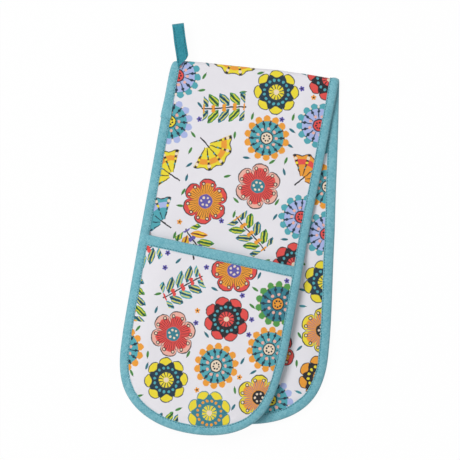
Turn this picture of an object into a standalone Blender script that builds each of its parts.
"""Double oven glove, folded at its middle and lying flat, pocket side out.

One long padded strip with a rounded end and a pocket at each tip. Cloth is described in its own
coordinates: across the strip, along it from the fold, and a height above the plane in which the
two halves meet. One function folds those coordinates into space, so that every layer, binding and
joint takes its place from the same sizes. All lengths are in metres, +Z is up.
"""

import math

import bmesh
import bpy
from mathutils import Vector

OBJECT_NAME = "double_oven_glove"

# Cut sizes
STRIP_WIDTH = 0.190
FRONT_LENGTH = 0.4232
BACK_LENGTH = 0.4075
POCKET_DEPTH = 0.211
END_DEPTH = 0.081
END_POWER = 2.2
FOLD_SKEW_DEG = 4.1

# The upper half's loose side edge is drawn in, more and more down to a place on it
DRAW_IN = 0.0029
DRAW_FROM = 0.020
DRAW_TO = 0.150

# Cloth and padding
FABRIC = 0.0006
STRIP_PADDING = 0.0032
STRIP_PADDING_AT_EDGE = 0.0008
POCKET_PADDING = 0.0022
POCKET_PADDING_AT_EDGE = 0.0006
POCKET_ROOM = 0.0060
PINCH_WIDTH = 0.036
LAYER_GAP = 0.0003
HALF_APART = 0.0008

# Bindings
TAPE = 0.0007
OUTER_BINDING_WIDTH = 0.0101
INNER_BINDING_WIDTH = 0.0110
MOUTH_BINDING_WIDTH = 0.0124
MOUTH_BINDING_INSIDE = 0.0090
MOUTH_SINK = TAPE + LAYER_GAP

# Wrist and the ramp up to the pocket mouth
WRIST_BEFORE_MOUTH = 0.020
SLOPE_BEFORE_WRIST = 0.0065
PATCH_LEAD = 0.018

# Hanging loop
LOOP_WIDTH = 0.0136
LOOP_TAPE = 0.0012
LOOP_REACH = 0.0400
LOOP_SEAT = 0.0060
LOOP_EYE = 0.0060
LOOP_FROM_EDGE = 0.0156
LOOP_TURN_DEG = 13.8

# Shading, and mesh counts
SHARP_DEG = 40.0
COLUMN_COUNT_BESIDE_CENTRE = 3
MIDDLE_ROW_COUNT = 4
RAMP_ROW_COUNT = 2
POCKET_ROW_COUNT = 3
PATCH_CURVE_ROW_COUNT = 4
BRIDGE_ROW_COUNT = 4
ARC_ROW_COUNT = 2
LOOP_LEG_ROW_COUNT = 5
LOOP_BEND_ROW_COUNT = 6

# Shares of the sizes that they follow
SECOND_RING_SHARE = 0.72
LEG_MIDDLE_SHARE = 0.5
CORNER_SHARE = 0.5
BRIDGE_SHARE = 0.5

FRONT, BACK = 1, -1
RIGHT_ANGLE = math.pi / 2

SKEW = math.radians(FOLD_SKEW_DEG)
HALF_WIDTH = STRIP_WIDTH / 2
CLOTH_INSET = TAPE + LAYER_GAP
FIRST_RING = INNER_BINDING_WIDTH + CLOTH_INSET
SECOND_RING = PINCH_WIDTH * SECOND_RING_SHARE
STRIP_THICKNESS = 2 * FABRIC + 2 * LAYER_GAP + STRIP_PADDING
STRIP_AT_EDGE = 2 * FABRIC + 2 * LAYER_GAP + STRIP_PADDING_AT_EDGE
POCKET_THICKNESS = 2 * FABRIC + 2 * LAYER_GAP + POCKET_PADDING
POCKET_AT_EDGE = 2 * FABRIC + 2 * LAYER_GAP + POCKET_PADDING_AT_EDGE
MITT_THICKNESS = STRIP_THICKNESS + POCKET_ROOM + POCKET_THICKNESS
MITT_AT_EDGE = STRIP_AT_EDGE + LAYER_GAP + POCKET_AT_EDGE
STRIP_EDGE_LIFT = (STRIP_THICKNESS - STRIP_AT_EDGE) / 2
MITT_EDGE_LIFT = (MITT_THICKNESS - MITT_AT_EDGE) / 2
FOLD_RADIUS = HALF_APART + STRIP_THICKNESS
FOLD_ARC = FOLD_RADIUS * RIGHT_ANGLE
MITT_HEIGHT = HALF_APART + MITT_THICKNESS
BRIDGE_ANGLE = RIGHT_ANGLE * BRIDGE_SHARE
SLIP = LAYER_GAP / 2


class Half:
    """One half of the strip: the side it lies on, and the places along it that its length fixes."""

    def __init__(self, side, length):
        self.side = side
        self.length = length
        self.mouth = length - POCKET_DEPTH
        self.wrist = self.mouth - WRIST_BEFORE_MOUTH
        self.band_end = self.mouth + CLOTH_INSET + MOUTH_BINDING_WIDTH
        self.band_fade = self.band_end + MOUTH_BINDING_WIDTH
        self.end_start = length - END_DEPTH
        self.patch_start = self.end_start - PATCH_LEAD

    def ramp(self, along):
        """How far the edges have opened from the thin strip, 0, to the mitt, 1."""
        return min(max((along - self.wrist) / (self.band_end - self.wrist), 0), 1)


FRONT_HALF = Half(FRONT, FRONT_LENGTH)
BACK_HALF = Half(BACK, BACK_LENGTH)
SLOPE_END = min(
    half.wrist * math.cos(SKEW) - HALF_WIDTH * math.sin(SKEW) for half in (FRONT_HALF, BACK_HALF)
) - SLOPE_BEFORE_WRIST


def mix(low, high, share):
    return low + (high - low) * share


def padding_share(inset):
    """Share of the full padding at a distance in from the edge. It is straight under the binding."""
    def crown(distance):
        return 1 - (1 - min(distance / PINCH_WIDTH, 1)) ** 2

    if inset <= CLOTH_INSET:
        return 0
    if inset <= FIRST_RING:
        return crown(FIRST_RING) * (inset - CLOTH_INSET) / (FIRST_RING - CLOTH_INSET)
    return crown(inset)


def strip_base(half, along, inset):
    lift = mix(STRIP_EDGE_LIFT, MITT_EDGE_LIFT, half.ramp(along))
    return HALF_APART + lift * (1 - padding_share(inset))


def strip_top(half, along, inset):
    return strip_base(half, along, inset) + mix(STRIP_AT_EDGE, STRIP_THICKNESS, padding_share(inset))


# The joints' axes lie on the crest of the cloth, which the binding's outer leg may reach past
BINDING_CREST = strip_top(FRONT_HALF, 0, OUTER_BINDING_WIDTH) + LAYER_GAP + TAPE
CREST = max(FOLD_RADIUS, BINDING_CREST)


def meeting_height(distance):
    """Height of the plane between the halves: it climbs from the fold to the mitts, then is level."""
    climbed = (distance - FOLD_ARC) / (SLOPE_END - FOLD_ARC)
    return mix(CREST, MITT_HEIGHT, min(max(climbed, 0), 1))


def drawn_in(across, along):
    share = min(max((along - DRAW_FROM) / (DRAW_TO - DRAW_FROM), 0), 1)
    return across - DRAW_IN * share * (across + HALF_WIDTH) / STRIP_WIDTH


def place(across, along, height, slip=0):
    """World point of a cloth point. Along is negative on the lower half; slip follows the fold's turn."""
    across = drawn_in(across, along)
    distance = along * math.cos(SKEW) + across * math.sin(SKEW)
    x = across * math.cos(SKEW) - along * math.sin(SKEW)
    if abs(distance) >= FOLD_ARC:
        side = math.copysign(1, distance)
        return Vector((x, FOLD_ARC - abs(distance), meeting_height(abs(distance)) + side * height))
    turn = distance / FOLD_RADIUS
    y = height * math.cos(turn) - slip * math.sin(turn)
    return Vector((x, y, CREST + height * math.sin(turn) + slip * math.cos(turn)))


def pocket_base(half, along, inset):
    room = mix(LAYER_GAP, POCKET_ROOM, padding_share(inset))
    return strip_top(half, along, inset) + room


def pocket_top(half, along, inset):
    """Top of the pocket panel, which its mouth binding presses down by its own thickness."""
    share = padding_share(inset)
    pressed = min(max((half.band_fade - along) / (half.band_fade - half.band_end), 0), 1)
    thickness = mix(POCKET_AT_EDGE, POCKET_THICKNESS, share) - MOUTH_SINK * share * pressed
    return pocket_base(half, along, inset) + thickness


def edge_top(half, along, inset):
    """Top of all the layers that the edge binding wraps: the strip alone up to the pocket's mouth."""
    return (pocket_top if along >= half.mouth else strip_top)(half, along, inset)


def side_station(along, hand):
    """Point on a straight side and its inward normal; hand is -1 at the left side and 1 at the right."""
    return Vector((hand * HALF_WIDTH, along)), Vector((-hand, 0))


def end_station(half, angle):
    """Point on the rounded end and its inward normal; the angle is 0 at the right side, pi at the left."""
    c, s = math.cos(angle), math.sin(angle)
    across = math.copysign(abs(c) ** (2 / END_POWER), c)
    beyond = abs(s) ** (2 / END_POWER)
    lean = math.copysign(abs(across) ** (END_POWER - 1), across) / HALF_WIDTH
    normal = Vector((-lean, -(beyond ** (END_POWER - 1)) / END_DEPTH)).normalized()
    return Vector((across * HALF_WIDTH, half.end_start + beyond * END_DEPTH)), normal


def inside(station, inset):
    """Cloth point (across, along, inset) at a distance in from a station of the outline."""
    point, normal = station
    return point.x + normal.x * inset, point.y + normal.y * inset, inset


def inset_of(half, across, along):
    """Distance of a cloth point from the outline, for points well inside it."""
    beyond = max(along - half.end_start, 0)
    powers = abs(across / HALF_WIDTH) ** END_POWER + (beyond / END_DEPTH) ** END_POWER
    reach = powers ** (1 / END_POWER)
    return math.hypot(across, beyond) * (1 / reach - 1) if reach else HALF_WIDTH


def column_places(first_inset=None):
    """Places across the strip at which a grid has its columns, each with its inset from the side."""
    steps = range(1, COLUMN_COUNT_BESIDE_CENTRE + 1)
    insets = [CLOTH_INSET, FIRST_RING, SECOND_RING]
    insets += [mix(SECOND_RING, HALF_WIDTH, k / COLUMN_COUNT_BESIDE_CENTRE) for k in steps]
    if first_inset:
        insets[0] = first_inset
    left = [(inset - HALF_WIDTH, inset) for inset in insets]
    return left + [(-across, inset) for across, inset in reversed(left[:-1])]


def level(along):
    return lambda across: along


def fold_line(half, distance):
    """The line across the strip that lies this far from the fold, which crosses it at a skew."""
    return lambda across: (distance - half.side * across * math.sin(SKEW)) / math.cos(SKEW)


def lines_between(first, second, count):
    """Lines after the first one, up to and with the second."""
    def blended(share):
        return lambda across: mix(first(across), second(across), share)

    return [blended(k / count) for k in range(1, count + 1)]


def middle_lines(half):
    """Lines from the joint beside the fold to the wrist."""
    split = fold_line(half, FOLD_RADIUS * BRIDGE_ANGLE)
    arc_end, slope_end = fold_line(half, FOLD_ARC), fold_line(half, SLOPE_END)
    lines = [split] + lines_between(split, arc_end, ARC_ROW_COUNT)
    return lines + lines_between(arc_end, slope_end, MIDDLE_ROW_COUNT) + [level(half.wrist)]


def pocket_lines(half, start):
    """Lines from the pocket's mouth to where the rounded end's patch starts."""
    fade = level(half.band_fade)
    lines = [level(start), level(half.band_end), fade]
    return lines + lines_between(fade, level(half.patch_start), POCKET_ROW_COUNT)


def mitt_lines(half):
    """Lines of the strip under the pocket, from just past the wrist."""
    lines = lines_between(level(half.wrist), level(half.mouth), RAMP_ROW_COUNT)
    return lines + pocket_lines(half, half.band_end)[1:]


def rows_on(lines):
    return [[(across, line(across), inset) for across, inset in column_places()] for line in lines]


def side_angles():
    """Angles of the side's stations on the rounded end, up to the corner where the end row starts."""
    count = PATCH_CURVE_ROW_COUNT
    return [RIGHT_ANGLE * CORNER_SHARE * k / count for k in range(count + 1)]


def end_angles():
    count, corner = len(column_places()) - 1, RIGHT_ANGLE * CORNER_SHARE
    return [mix(math.pi - corner, corner, k / count) for k in range(count + 1)]


def patch_point(rows, row, column, first, final, top):
    """A point of the patch, blended from its four sides."""
    s, t = (column - first) / (final - first), row / top
    point = []
    for axis in (0, 1):
        sides = mix(rows[row][first][axis], rows[row][final][axis], s)
        ends = mix(rows[0][column][axis], rows[top][column][axis], t)
        near = mix(rows[0][first][axis], rows[0][final][axis], s)
        far = mix(rows[top][first][axis], rows[top][final][axis], s)
        point.append(sides + ends - mix(near, far, t))
    return point


def end_rows(half):
    """Rows that fill the rounded end: three rings that follow its outline, and a patch inside them."""
    left = [side_station(half.patch_start, -1)]
    left += [end_station(half, math.pi - angle) for angle in side_angles()]
    right = [side_station(half.patch_start, 1)]
    right += [end_station(half, angle) for angle in side_angles()]
    end = [end_station(half, angle) for angle in end_angles()]
    last, columns = len(left) - 1, len(end) - 1
    rows = rows_on([level(half.patch_start)]) + [[None] * (columns + 1) for _ in range(last)]
    for ring, inset in enumerate((CLOTH_INSET, FIRST_RING, SECOND_RING)):
        for row in range(1, last - ring):
            rows[row][ring] = inside(left[row], inset)
            rows[row][columns - ring] = inside(right[row], inset)
        stations = [left[-1]] + end[ring + 1 : columns - ring] + [right[-1]]
        for column, station in enumerate(stations, ring):
            rows[last - ring][column] = inside(station, inset)
    first, final, top = 2, columns - 2, last - 2
    for row in range(1, top):
        for column in range(first + 1, final):
            point = patch_point(rows, row, column, first, final, top)
            rows[row][column] = (*point, inset_of(half, *point))
    return rows[1:]


def outline_stations(half, lines):
    """Stations from the left side round the tip to the right side, for an edge binding."""
    left = [side_station(line(-HALF_WIDTH), -1) for line in lines]
    left += [end_station(half, math.pi - angle) for angle in side_angles()]
    right = [side_station(line(HALF_WIDTH), 1) for line in lines]
    right += [end_station(half, angle) for angle in side_angles()]
    return left + [end_station(half, angle) for angle in end_angles()[1:-1]] + right[::-1]


class Body:
    """A rigid group of pieces, carried by an empty on the axis of its joint."""

    def __init__(self, name, pivot, carrier=None):
        self.pivot = pivot
        self.empty = bpy.data.objects.new(name, None)
        self.empty.empty_display_size = OUTER_BINDING_WIDTH
        collection.objects.link(self.empty)
        if carrier:
            self.empty.parent = carrier.empty
            self.empty.location = pivot - carrier.pivot

    def slab(self, name, low, high, finish):
        """One closed solid between two sheets of points, each a list of rows of equal length."""
        mesh = bmesh.new()
        rows, columns = len(low) - 1, len(low[0]) - 1
        bmesh.ops.create_grid(mesh, x_segments=columns, y_segments=rows, size=1)
        row_of = mesh.verts.layers.int.new("row")
        column_of = mesh.verts.layers.int.new("column")
        for vertex in mesh.verts:
            vertex[column_of] = round((vertex.co.x + 1) / 2 * columns)
            vertex[row_of] = round((vertex.co.y + 1) / 2 * rows)
        below = list(mesh.verts)
        grown = bmesh.ops.extrude_face_region(mesh, geom=list(mesh.faces))["geom"]
        above = [item for item in grown if isinstance(item, bmesh.types.BMVert)]
        for vertices, sheet in ((below, low), (above, high)):
            for vertex in vertices:
                vertex.co = sheet[vertex[row_of]][vertex[column_of]] - self.pivot
        bmesh.ops.recalc_face_normals(mesh, faces=mesh.faces)
        if mesh.calc_volume(signed=True) < 0:
            bmesh.ops.reverse_faces(mesh, faces=mesh.faces)
        data = bpy.data.meshes.new(name)
        mesh.to_mesh(data)
        mesh.free()
        data.materials.append(finish)
        data.shade_smooth()
        data.set_sharp_from_angle(angle=math.radians(SHARP_DEG))
        made = bpy.data.objects.new(name, data)
        collection.objects.link(made)
        made.parent = self.empty
        return made

    def layer(self, name, half, rows, low, high, finish, slips=(0, 0)):
        """A layer of cloth or padding between two heights over rows of cloth points."""
        slip_of = {0: slips[0], len(rows) - 1: slips[1]}

        def sheet(height):
            return [
                [
                    place(across, half.side * along, height(half, along, inset), slip_of.get(index, 0))
                    for across, along, inset in row
                ]
                for index, row in enumerate(rows)
            ]

        self.slab(name, sheet(low), sheet(high), finish)

    def strip_layers(self, prefix, half, rows, slips=(0, 0)):
        """Inner face, wadding and outer face of the strip."""
        self.layer(prefix + "_inner_face", half, rows, strip_base, inner_cloth_top, COTTON, slips)
        self.layer(prefix + "_wadding", half, rows, wadding_base, wadding_top, WADDING, slips)
        self.layer(prefix + "_outer_face", half, rows, outer_cloth_base, strip_top, COTTON, slips)

    def pocket_layers(self, prefix, half, rows):
        """Lining, wadding and outer panel of a pocket."""
        self.layer(prefix + "_lining", half, rows, pocket_base, lining_top, LINING)
        self.layer(prefix + "_wadding", half, rows, pocket_wadding_base, pocket_wadding_top, WADDING)
        self.layer(prefix + "_outer_panel", half, rows, pocket_cloth_base, pocket_top, COTTON)

    def edge_binding(self, name, half, stations, slips=(0, 0)):
        """Tape folded round the edge: an inner leg, the turn outside the layers, and an outer leg."""
        inner_middle = INNER_BINDING_WIDTH * LEG_MIDDLE_SHARE
        outer_middle = OUTER_BINDING_WIDTH * LEG_MIDDLE_SHARE
        inner_leg = (INNER_BINDING_WIDTH, inner_middle, TAPE)
        outer_leg = (TAPE, outer_middle, OUTER_BINDING_WIDTH)
        slip_of = {0: slips[0], len(stations) - 1: slips[1]}

        def sheet(thickness):
            placed = []
            for index, station in enumerate(stations):
                row = []
                for inset, surface, side in [(d, strip_base, -1) for d in inner_leg] + [
                    (d, edge_top, 1) for d in outer_leg
                ]:
                    along_here = inside(station, inset)[1]
                    height = surface(half, along_here, inset) + side * (LAYER_GAP + thickness)
                    if inset == TAPE:
                        inset = TAPE - thickness
                    across, along, _ = inside(station, inset)
                    row.append(place(across, half.side * along, height, slip_of.get(index, 0)))
                placed.append(row)
            return placed

        self.slab(name, sheet(0), sheet(TAPE), BINDING)

    def mouth_binding(self, name, half):
        """Tape folded over the pocket's mouth, between the inner edges of the edge binding."""
        outer_leg = (half.mouth + MOUTH_BINDING_WIDTH, half.mouth + TAPE)
        inner_leg = (half.mouth + TAPE, half.mouth + MOUTH_BINDING_INSIDE)

        def sheet(thickness):
            placed = []
            for across, inset in column_places(OUTER_BINDING_WIDTH + LAYER_GAP):
                row = []
                for along, surface, side in [(a, pocket_top, 1) for a in outer_leg] + [
                    (a, pocket_base, -1) for a in inner_leg
                ]:
                    height = surface(half, along, inset) + side * (LAYER_GAP + thickness)
                    if along == half.mouth + TAPE:
                        along -= thickness
                    row.append(place(across, half.side * along, height))
                placed.append(row)
            return placed

        self.slab(name, sheet(0), sheet(TAPE), BINDING)


def inner_cloth_top(half, along, inset):
    return strip_base(half, along, inset) + FABRIC


def wadding_base(half, along, inset):
    return inner_cloth_top(half, along, inset) + LAYER_GAP


def outer_cloth_base(half, along, inset):
    return strip_top(half, along, inset) - FABRIC


def wadding_top(half, along, inset):
    return outer_cloth_base(half, along, inset) - LAYER_GAP


def lining_top(half, along, inset):
    return pocket_base(half, along, inset) + FABRIC


def pocket_wadding_base(half, along, inset):
    return lining_top(half, along, inset) + LAYER_GAP


def pocket_cloth_base(half, along, inset):
    return pocket_top(half, along, inset) - FABRIC


def pocket_wadding_top(half, along, inset):
    return pocket_cloth_base(half, along, inset) - LAYER_GAP


def fabric_material(name, colour, roughness):
    made = bpy.data.materials.new(name)
    made.use_nodes = True
    shader = made.node_tree.nodes["Principled BSDF"]
    shader.inputs["Base Color"].default_value = (*colour, 1)
    shader.inputs["Roughness"].default_value = roughness
    shader.inputs["Metallic"].default_value = 0
    return made


def build_back_half():
    """The lower half: it lies on the surface and carries the rest."""
    half = BACK_HALF
    body = Body("back_half", Vector((0, 0, 0)))
    lines = middle_lines(half) + mitt_lines(half)
    body.strip_layers("back", half, rows_on(lines) + end_rows(half), (-SLIP, 0))
    pocket_rows = rows_on(pocket_lines(half, half.mouth + CLOTH_INSET)) + end_rows(half)
    body.pocket_layers("back_pocket", half, pocket_rows)
    body.mouth_binding("back_pocket_mouth_binding", half)
    body.edge_binding("back_edge_binding", half, outline_stations(half, lines), (-SLIP, -SLIP))
    return body


def side_bindings(body, prefix, half, lines, slips):
    for hand, side_name in ((-1, "left"), (1, "right")):
        stations = [side_station(line(hand * HALF_WIDTH), hand) for line in lines]
        body.edge_binding(f"{prefix}_{side_name}_binding", half, stations, slips)


def build_fold(carrier):
    """The turn of the strip, between the joints beside the fold."""
    half, reach = FRONT_HALF, FOLD_RADIUS * BRIDGE_ANGLE
    pivot = place(0, -reach / math.cos(SKEW), CREST)
    body = Body("fold", Vector((0, pivot.y, pivot.z)), carrier)
    first, last = fold_line(half, -reach), fold_line(half, reach)
    lines = [first] + lines_between(first, last, BRIDGE_ROW_COUNT)
    body.strip_layers("fold", half, rows_on(lines), (SLIP, -SLIP))
    side_bindings(body, "fold", half, lines, (SLIP, -SLIP))
    return body


def build_front_middle(carrier):
    """The upper half's plain stretch, from the fold to the wrist."""
    half = FRONT_HALF
    pivot = place(0, FOLD_RADIUS * BRIDGE_ANGLE / math.cos(SKEW), CREST)
    body = Body("front_middle", Vector((0, pivot.y, pivot.z)), carrier)
    lines = middle_lines(half)[:-1] + [level(half.wrist - SLIP)]
    body.strip_layers("front_middle", half, rows_on(lines), (SLIP, 0))
    side_bindings(body, "front_middle", half, lines, (SLIP, 0))
    return body


def build_front_mitt(carrier):
    """The upper half's mitt, which curls up at the wrist."""
    half = FRONT_HALF
    body = Body("front_mitt", place(0, half.wrist, CREST), carrier)
    lines = [level(half.wrist + SLIP)] + mitt_lines(half)
    body.strip_layers("front_mitt", half, rows_on(lines) + end_rows(half))
    pocket_rows = rows_on(pocket_lines(half, half.mouth + CLOTH_INSET)) + end_rows(half)
    body.pocket_layers("front_pocket", half, pocket_rows)
    body.mouth_binding("front_pocket_mouth_binding", half)
    body.edge_binding("front_mitt_edge_binding", half, outline_stations(half, lines))
    return body


def loop_section(reach):
    """Inner and outer points of the folded tape, out along its lower leg and back along the upper."""
    inner, outer = [], []

    def half_open(share):
        return mix(LAYER_GAP, LOOP_EYE, share * share * (3 - 2 * share)) / 2

    leg = reach - LOOP_EYE / 2 - LOOP_TAPE
    outward = [k / LOOP_LEG_ROW_COUNT for k in range(LOOP_LEG_ROW_COUNT + 1)]
    for side, shares in ((-1, outward), (1, outward[::-1])):
        for share in shares:
            inner.append((leg * share, side * half_open(share)))
            outer.append((leg * share, side * (half_open(share) + LOOP_TAPE)))
        if side == -1:
            for k in range(1, LOOP_BEND_ROW_COUNT):
                angle = math.pi * k / LOOP_BEND_ROW_COUNT - RIGHT_ANGLE
                for points, radius in ((inner, LOOP_EYE / 2), (outer, LOOP_EYE / 2 + LOOP_TAPE)):
                    points.append((leg + radius * math.cos(angle), radius * math.sin(angle)))
    return inner, outer


def build_hanging_loop(carrier):
    """A tape folded double, sewn to the upper half at the left end of the fold."""
    turn = math.radians(LOOP_TURN_DEG)
    across = Vector((math.cos(turn), math.sin(turn), 0))
    along = Vector((-math.sin(turn), math.cos(turn), 0))
    place_across = LOOP_FROM_EDGE - HALF_WIDTH
    seat_along = fold_line(FRONT_HALF, FOLD_ARC + LOOP_SEAT)(place_across)
    root = place(place_across, seat_along, CREST + LAYER_GAP)
    root += Vector((0, 0, LOOP_TAPE + LAYER_GAP / 2))
    body = Body("hanging_loop_carrier", root, carrier)
    inner, outer = loop_section((LOOP_SEAT + FOLD_RADIUS + LOOP_REACH) / math.cos(turn))

    def sheet(points):
        return [
            [root + along * far + Vector((0, 0, up)) + across * side * LOOP_WIDTH / 2 for side in (-1, 1)]
            for far, up in points
        ]

    body.slab("hanging_loop", sheet(inner), sheet(outer), LOOP_MATERIAL)
    return body


def centre_on_floor(body):
    """Moves the glove so that its box is centred on the origin and stands on the floor."""
    bpy.context.view_layer.update()
    corners = [
        item.matrix_world @ vertex.co
        for item in collection.objects
        if item.type == "MESH"
        for vertex in item.data.vertices
    ]
    low = [min(corner[axis] for corner in corners) for axis in range(3)]
    high = [max(corner[axis] for corner in corners) for axis in range(3)]
    body.empty.location = Vector((-(low[0] + high[0]) / 2, -(low[1] + high[1]) / 2, -low[2]))


for old in list(bpy.data.objects):
    bpy.data.objects.remove(old, do_unlink=True)
collection = bpy.data.collections.new(OBJECT_NAME)
bpy.context.scene.collection.children.link(collection)

COTTON = fabric_material("printed_cotton", (0.78, 0.77, 0.79), 0.9)
LINING = fabric_material("pocket_lining", (0.70, 0.69, 0.69), 0.9)
WADDING = fabric_material("wadding", (0.86, 0.84, 0.78), 1.0)
BINDING = fabric_material("teal_binding", (0.15, 0.43, 0.50), 0.85)
LOOP_MATERIAL = fabric_material("teal_loop_tape", (0.04, 0.27, 0.33), 0.85)

back_half = build_back_half()
fold = build_fold(back_half)
front_middle = build_front_middle(fold)
build_front_mitt(front_middle)
build_hanging_loop(front_middle)
centre_on_floor(back_half)
